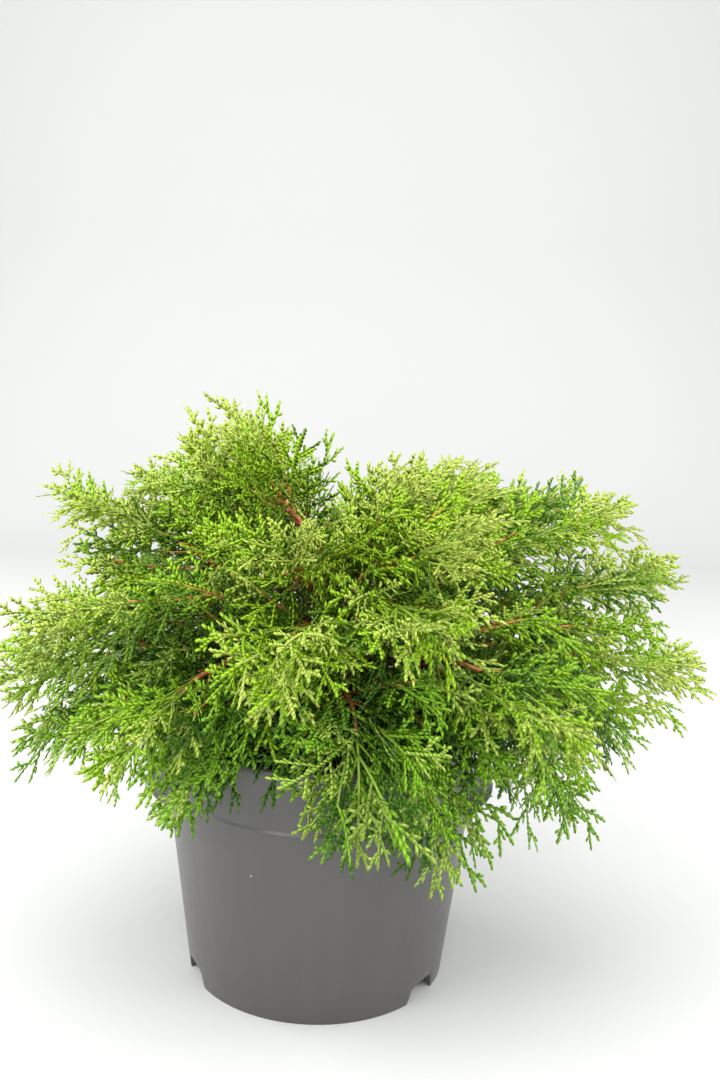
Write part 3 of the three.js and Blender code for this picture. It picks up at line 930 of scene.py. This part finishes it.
class SprayDrawing:
    """Collects the kites of one spray in its own plane: x along it, y across, z out of its face."""

    def __init__(self, chance):
        self.chance = chance
        self.rows = []

    def add(self, place, ahead, length, width, flip=1):
        width *= self.chance.uniform(*WIDTH_SPREAD)
        self.rows.append((*place, *ahead, length, width, flip * SHOOT_KEEL))

    def grow(self, place, turn, rise, length, side):
        """A shoot with plumes to the left and right by turns, or with shoot ends where it is short."""
        has_plumes = length > PLUME_OVER
        pitch = PLUME_PITCH * length + PLUME_PITCH_ADDED if has_plumes else END_PITCH
        share, added = (PLUME_SHARE, PLUME_ADDED) if has_plumes else (END_SHARE, END_ADDED)
        angles = PLUME_ANGLES if has_plumes else END_ANGLES
        steps = max(3, round(length / pitch))
        stride = length / steps
        curl = math.radians(self.chance.uniform(0, CURL)) * -side
        for step in range(steps):
            way = step / steps
            here = turn + curl * way
            hand = 1 if (step + (side > 0)) % 2 else -1
            leave = here + hand * math.radians(even(angles, way) + self.chance.normal(0, 4))
            fork = share * length * fork_length(way) * self.chance.uniform(*FORK_SPREAD) + added
            tilt = rise + self.chance.normal(-0.02, 0.06)
            if has_plumes and way > 0.05:
                self.grow(place, leave, tilt, fork, hand)
            if not has_plumes and way > 0.12:
                self.add(place, heading(leave, tilt), fork, END_WIDTH, hand)
            strips = max(1, round(stride / STRIP_LENGTH))
            for _ in range(strips):
                self.add(place, heading(here, rise), STRIP_OVERLAP * stride / strips, STRIP_WIDTH)
                place = place + heading(here, rise) * stride / strips
        self.add(place, heading(turn + curl, rise), added + 1.2, STRIP_WIDTH)


def draw_spray(length, seed):
    """A flat spray of a length in millimetres, as kite points."""
    drawing = SprayDrawing(np.random.default_rng(seed))
    drawing.grow(np.zeros(3), 0, 0, length, 1 if seed % 2 else -1)
    return kite_points(*np.split(np.array(drawing.rows), [3, 6, 7, 8], axis=1))


# %% Leaves: drawings of several lengths
SPRAY_LENGTHS = [26, 36, 48, 62, 78, 94]
SPRAY_KINDS = 4
sprays = {}
for length in SPRAY_LENGTHS:
    sprays[length] = [draw_spray(length, 100 * length + kind) for kind in range(SPRAY_KINDS)]
    print(f"Spray of {length} mm: {4 * len(sprays[length][0])} triangles")

# %% [markdown]
# Sprays leave a stem all round, each 137.5 degrees further than the one before, as leaves do on most
# plants. The twelve of each limb are the ones of the CAD rule, and finer ones between them and further in
# hide the stem. A spray that would run into the pot turns about its stem or shrinks.

# %% Leaves: the plan of one spray
HEART = np.array([0.0, 0.0, GROUND_Z + 40])  # the crown's middle, which every spray turns its back to
LIGHT = np.array([0.0, -0.93, 0.37])  # the way to the light that the plant grew in
TOWARDS_LIGHT = 0.8  # how strongly the sprays face it
END_ON = 0.3  # a spray that reaches almost straight at it faces sideways
SPRAY_OUTLINE = ((0.3, 0.2), (0.3, -0.2), (0.6, 0.25), (0.6, -0.25), (0.65, 0), (1, 0))


class Shoot:
    """A spray's plan: its root on the limb, its length and the ways it reaches and faces."""

    def __init__(self, limb, share, roll, open_angle, twist, length):
        self.limb, self.share, self.length = limb, share, length
        self.roll, self.open_angle, self.twist = roll, open_angle, twist
        self.root, self.ahead, self.side, self.lift = limb.curve.frame(share)

    def set_axes(self, turn):
        roll = self.roll + turn
        self.reach, across = leaving(self.ahead, self.side, self.lift, roll, self.open_angle)
        outward = unit(self.root + 0.5 * self.length * self.reach - HEART)
        outward = unit(outward + TOWARDS_LIGHT * LIGHT)
        square = outward - np.dot(outward, self.reach) * self.reach
        if np.linalg.norm(square) < END_ON:
            square = np.cross(self.reach, across)
        self.face = turned_about(unit(square), self.reach, self.twist)
        self.wide = np.cross(self.face, self.reach)

    def outline(self):
        """A few points round the spray that show whether it has room."""
        return [self.root + self.length * (x * self.reach + y * self.wide) for x, y in SPRAY_OUTLINE]


# %% Leaves: room for a spray
SHRINKS = (1, 0.8, 0.64, 0.5)
ROLLS = (0, 42, -42, 84)
OVER_TOP = 12.0
POT_ROOM = 4.0
LUG_ROOM = 13.0
LUG_HALF_TURN = 34
LUG_HALF_HEIGHT = 14.0


def near_pot(place):
    """Whether a place is in the pot or too close to it."""
    if place[2] > POT_HEIGHT + 3:
        return False
    by_lug = any(abs(turn_between(azimuth_of(place), lug)) < LUG_HALF_TURN for lug in LUG_AZIMUTHS)
    over_lug = by_lug and abs(place[2] - BEAD_Z) < LUG_HALF_HEIGHT
    return math.hypot(place[0], place[1]) < RIM_RADIUS + POT_ROOM + (LUG_ROOM if over_lug else 0)


def find_room(shoot):
    """Turns or shrinks the spray until it is clear of the pot and not over the limb's top."""
    full = shoot.length
    for shrink in SHRINKS:
        for turn in ROLLS:
            shoot.length = full * shrink
            shoot.set_axes(turn)
            outline = shoot.outline()
            if all(not near_pot(place) and place[2] < shoot.limb.top_z + OVER_TOP for place in outline):
                return True
    return False


# %% Leaves: the twelve sprays of each limb
PER_MASS = 12
SPRAY_LENGTHS_ALONG = (88.0, 61.6)  # of the first spray and of the last
OPEN_ANGLES = (52.0, 32.0)
GOLDEN_TURN = 137.5
ROLL_SPREAD = (-14.0, 14.0)
TWIST_SPREAD = (-24.0, 24.0)
LENGTH_SPREAD = (0.88, 1.12)
PAST_TIP = 6.0


def planned_shoots(limb):
    """The twelve sprays of the CAD rule."""
    for number in range(PER_MASS):
        draw = seeded(limb.order * 100 + number + 500)
        is_last = number == PER_MASS - 1
        along = number / (PER_MASS - 1)
        share = STEM_END - 0.01 if is_last else even((BOUGH_SHARE + 0.03, STEM_END - 0.02), along)
        to_tip = np.linalg.norm(limb.tip - limb.curve.point(share))
        roll = GOLDEN_TURN * number + even(ROLL_SPREAD, draw())
        twist = even(TWIST_SPREAD, draw())
        full = even(SPRAY_LENGTHS_ALONG, along) * even(LENGTH_SPREAD, draw())
        open_angle = 0 if is_last else even(OPEN_ANGLES, along)
        length = to_tip if is_last else min(full, to_tip + PAST_TIP)
        yield Shoot(limb, share, roll, open_angle, twist, length)


# %% Leaves: finer sprays
OUTER_SPRAYS = 3
OUTER_SHARES = (0.4, 0.94)
OUTER_OPEN = (38, 22)
OUTER_LENGTHS = (46, 70)
INNER_SPRAYS = 12
INNER_SHARES = (0.1, 0.485)
INNER_LENGTHS = (46, 76)
SHORTEST = 24


def finer_shoots(limb):
    """Finer sprays between the planned ones and further in along the bough."""
    chance = np.random.default_rng(3000 + limb.order)
    for number in range(OUTER_SPRAYS):
        along = (number + 0.5) / OUTER_SPRAYS
        share = even(OUTER_SHARES, along)
        to_tip = np.linalg.norm(limb.tip - limb.curve.point(share))
        length = min(chance.uniform(*OUTER_LENGTHS), to_tip + PAST_TIP)
        roll = GOLDEN_TURN * (number + 0.4) + chance.normal(0, 20)
        twist = chance.normal(0, 22)
        yield Shoot(limb, share, roll, even(OUTER_OPEN, along), twist, max(length, SHORTEST))
    for number in range(INNER_SPRAYS):
        share = even(INNER_SHARES, number / (INNER_SPRAYS - 1))
        roll = GOLDEN_TURN * number + chance.uniform(0, 60)
        yield Shoot(limb, share, roll, OPEN_ANGLES[0], chance.normal(0, 26), chance.uniform(*INNER_LENGTHS))


shoots = []
for limb in limbs:
    shoots += [shoot for shoot in (*planned_shoots(limb), *finer_shoots(limb)) if find_room(shoot)]
print("Sprays on the limbs:", len(shoots))

# %% [markdown]
# The CAD rule stops at the limbs. On the real plant each limb forks once more: slim side branches leave it
# left and right by turns, lean forward and carry the smaller sprays that close the crown.

# %% Leaves: side branches and their sprays
BRANCH_SHARES = (0.24, 0.33, 0.42, 0.51, 0.6, 0.69, 0.78)
BRANCH_OPEN = (46, 30)  # angle from the limb at its first and last side branch
BRANCH_SHARE = 0.5  # its length against the way to the limb's tip, and what is added to it
BRANCH_ADDED = 26.0
BRANCH_LONGEST = 118.0
BRANCH_LEAN = 0.45  # how strongly it turns along the limb
BRANCH_SPRAYS = 5
BRANCH_SPRAY_SHARES = (0.16, 0.82)
BRANCH_SPRAY_OPEN = (38, 28)
BRANCH_SPRAY_SHARE = 0.38  # its length against the branch's, and what is added to it
BRANCH_SPRAY_ADDED = 16
BRANCH_END = 0.62  # where its last spray starts, and how far that reaches past the branch's tip
BRANCH_END_PAST = 8


class SideBranch:
    """A slim branch that leaves a limb to one side and leans forward along it."""

    def __init__(self, limb, number):
        chance = np.random.default_rng(5000 + 20 * limb.order + number)
        way = number / (len(BRANCH_SHARES) - 1)
        self.limb_share = BRANCH_SHARES[number]
        start, ahead, side, lift = limb.curve.frame(self.limb_share)
        to_tip = np.linalg.norm(limb.tip - start)
        length = min(BRANCH_LONGEST, BRANCH_SHARE * to_tip + BRANCH_ADDED) * chance.uniform(0.85, 1.1)
        roll = (0 if number % 2 else 180) + chance.uniform(-50, 50)
        leave = leaving(ahead, side, lift, roll, even(BRANCH_OPEN, way))[0]
        tip = start + unit(leave + BRANCH_LEAN * ahead + UP * chance.uniform(-0.1, 0.14)) * length
        self.tier, self.tip, self.length, self.chance = limb.tier, tip, length, chance
        self.curve = Bend([start, start + leave * 0.5 * length, tip], UP if abs(leave[2]) < 0.9 else side)
        self.top_z = max(limb.top_z, tip[2])

    def shoots(self):
        """Sprays to the left and right of the branch, and one that carries on past its end."""
        for number in range(BRANCH_SPRAYS):
            share = even(BRANCH_SPRAY_SHARES, number / (BRANCH_SPRAYS - 1))
            roll = (0 if number % 2 else 180) + self.chance.normal(0, 34)
            length = BRANCH_SPRAY_SHARE * self.length + BRANCH_SPRAY_ADDED
            length *= even((1, 0.7), share) * self.chance.uniform(0.85, 1.15)
            open_angle = even(BRANCH_SPRAY_OPEN, share)
            yield Shoot(self, share, roll, open_angle, self.chance.normal(0, 20), length)
        length = np.linalg.norm(self.tip - self.curve.point(BRANCH_END)) + BRANCH_END_PAST
        yield Shoot(self, BRANCH_END, self.chance.uniform(0, 360), 0, 0, length)


def is_clear(branch):
    return not any(near_pot(branch.curve.point(share)) for share in (0.4, 0.7, 1.0))


branches = [SideBranch(limb, number) for limb in limbs for number in range(len(BRANCH_SHARES))]
branches = [branch for branch in branches if is_clear(branch)]
branch_shoots = [shoot for branch in branches for shoot in branch.shoots() if find_room(shoot)]
shoots += branch_shoots
print("Side branches:", len(branches), "with", len(branch_shoots), "sprays")

# %% [markdown]
# A spray is not stiff: low ones hang, and high ones lift a little at the tip. Each copy of a drawing is
# bent by moving its points along the vertical with the square of their way out. Each spray gets one
# of three tones of its tier: partly the yellow green of young growth at the outside and the deep green
# of old growth inside, and partly painted shade deep inside the crown and painted light on sprays that
# reach upwards.

# %% Leaves: grow the sprays
DROOP = {"leader": 0.02, "crest": -0.02, "shoulder": -0.08, "waist": -0.12, "skirt": -0.14}
TONES = ("deep", "middle", "bright")
TONE_REACH = {"leader": 2.2, "crest": 2.2, "shoulder": 2.1, "waist": 2.0, "skirt": 1.8}  # higher is brighter
TONE_SHARES = (0.25, 0.75)  # where a limb's sprays start to be brighter, and where they are bright


def bent(shoot, x, y, z):
    """Places of the flat drawing on the spray, which droops or lifts and sways to one side."""
    flat = shoot.root + x * shoot.reach + y * shoot.wide + z * shoot.face
    return flat + x**2 / shoot.length * (shoot.droop * UP + shoot.sway * shoot.wide)


def spray_points(shoot, chance):
    """The kite points of one spray in place, in millimetres."""
    drawn = min(SPRAY_LENGTHS, key=lambda length: abs(length - shoot.length))
    kites = sprays[drawn][chance.integers(SPRAY_KINDS)] * (shoot.length / drawn)
    flip = chance.choice([-1, 1])
    cup = chance.normal(0, 0.12)
    x, y, z = np.split(kites, 3, axis=-1)
    return bent(shoot, x, y, flip * z + cup * np.abs(y))


def tone_of(shoot, chance):
    """0, 1 or 2: deeper inside the crown, brighter towards the tips and the top."""
    share = shoot.share
    if isinstance(shoot.limb, SideBranch):
        share = shoot.limb.limb_share + (1 - shoot.limb.limb_share) * 0.6 * share
    low, high = TONE_SHARES
    # Deeper further in and brighter for sprays that reach up: partly young and old growth, partly painted
    # shade inside the crown and painted light from above.
    outward = (share - low) / (high - low) + 0.3 * shoot.reach[2] + chance.normal(0, 0.3)
    return int(np.clip(outward * TONE_REACH[shoot.limb.tier], 0, 2.99))


def leaf_tier(limb):
    """The leader's leaves are one with the crest's."""
    return "crest" if limb.tier == "leader" else limb.tier


grown = {(tier, tone): [] for tier in ("crest", "shoulder", "waist", "skirt") for tone in TONES}
chance = np.random.default_rng(41)
for shoot in shoots:
    shoot.droop = DROOP[shoot.limb.tier] + chance.normal(0, 0.05)
    shoot.sway = chance.normal(0, 0.1)
    tone = TONES[tone_of(shoot, chance)]
    grown[leaf_tier(shoot.limb), tone].append(spray_points(shoot, chance))
print("Leaf triangles:", sum(4 * len(kites) for group in grown.values() for kites in group))

# %% Leaves: colours and pieces
# The deep green of each tier is partly painted shade and the bright green partly painted light, beside the
# real tones of old and young growth.
LEAF_COLOURS = {
    "crest": ((98, 134, 8), (152, 193, 24), (182, 203, 80)),
    "shoulder": ((90, 130, 8), (150, 193, 24), (180, 203, 80)),
    "waist": ((80, 123, 8), (143, 189, 24), (175, 200, 77)),
    "skirt": ((69, 115, 12), (126, 178, 28), (158, 190, 69)),
}
LEAF_SLOTS = {
    "crest": "foliage_bright", "shoulder": "foliage_light", "waist": "foliage_mid", "skirt": "foliage_deep",
}


def leaf_finish(name, colour):
    """Scale leaves: a plain green with a soft sheen and the fine relief of overlapping scales."""
    leaf = Finish(name, colour, 0.55)
    leaf.shader.inputs["Specular IOR Level"].default_value = 0.4
    leaf.vary_roughness(leaf.noise(3, 2.0), 0.4, 0.58)
    leaf.add_relief(leaf.noise(0.9, 2.0), 0.25)
    return leaf.material


for (tier, tone), group in grown.items():
    points = np.concatenate(group).reshape(-1, 3)
    kites = len(points) // 4
    faces = (KITE_FACES[None] + 4 * np.arange(kites)[:, None, None]).reshape(-1, 3)
    piece = mesh_piece(f"leaves_{tier}_{tone}", points, faces)
    nodes = []
    if tone == "middle":
        nodes = [f"foliage_{limb.name}" for limb in limbs if leaf_tier(limb) == tier]
    colour = LEAF_COLOURS[tier][TONES.index(tone)]
    hand_over(piece, leaf_finish(f"scale_leaves_{tier}_{tone}", colour), LEAF_SLOTS[tier], nodes)

# %% [markdown]
# Between the leaves run the stems. The older part of each is woody and orange brown, the young part yellow
# green. They are slim tubes along the limbs' curves and up the middle of each spray.

# %% Twigs: woody and green
WOODY_RADII = (2.6, 1.0)
GREEN_RADII = (1.1, 0.6)
BRANCH_RADII = (1.43, 0.65)
WOODY_TO = 0.7  # where the limb's stem turns green
TWIG_RADII = (0.875, 0.35)
TWIG_SHARE = 0.35  # how far a twig runs up its spray


def spray_twig(shoot):
    """A three-sided twig from the limb up the middle of a spray."""
    ways = np.linspace(-0.02, TWIG_SHARE, 5)[:, None]
    places = bent(shoot, ways * shoot.length, 0, 0)
    radii = even(TWIG_RADII, ways / TWIG_SHARE)
    return tube(places, [(shoot.wide, shoot.face)] * len(places), radii, 3)


woody, green = [], []
for limb in limbs:
    woody.append(tube_along(limb.curve, BOUGH_SHARE - 0.01, WOODY_TO, tapering(WOODY_RADII), 12, 6))
    green.append(tube_along(limb.curve, WOODY_TO, 0.97, tapering(GREEN_RADII), 8, 5))
for branch in branches:
    part = woody if branch.limb_share < 0.5 else green
    part.append(tube_along(branch.curve, 0, 0.85, tapering(BRANCH_RADII), 6, 4))
for shoot in shoots:
    is_old = shoot.share < 0.55 and not isinstance(shoot.limb, SideBranch)
    part = woody if is_old else green
    part.append(spray_twig(shoot))

# %% Twigs: orange bark and green skin
TWIG_TONES = [(0.3, (158, 90, 50)), (0.55, (204, 130, 74)), (0.8, (224, 172, 108))]
STEM_TONES = [(0.3, (106, 146, 36)), (0.7, (144, 168, 54))]

twig_bark = mottled("orange_twig_bark", (170, 102, 58), 0.7, (3, 4.0), TWIG_TONES, (0.7, 3.0), 0.3)
stem_skin = mottled("yellow_green_stems", (126, 158, 46), 0.6, (4, 4.0), STEM_TONES, (0.8, 4.0), 0.2)
for name, parts, skin, slot in (
    ("twigs_woody", woody, twig_bark, "bark"),
    ("twigs_green", green, stem_skin, "foliage_light"),
):
    piece = mesh_piece(name, *joined(parts))
    face_outwards(piece)
    hand_over(piece, skin, slot)

# %% [markdown]
# Last, the size: the plant with its leaves has to fill the space that the CAD frame takes, and the boxes of
# both are printed.

# %% Sizes and finish
visual_box = [list(corner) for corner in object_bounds()]
for name, box in (("CAD", cad_box), ("Visual", visual_box)):
    print(name, "box in mm:", [[round(value / MM) for value in corner] for corner in box])
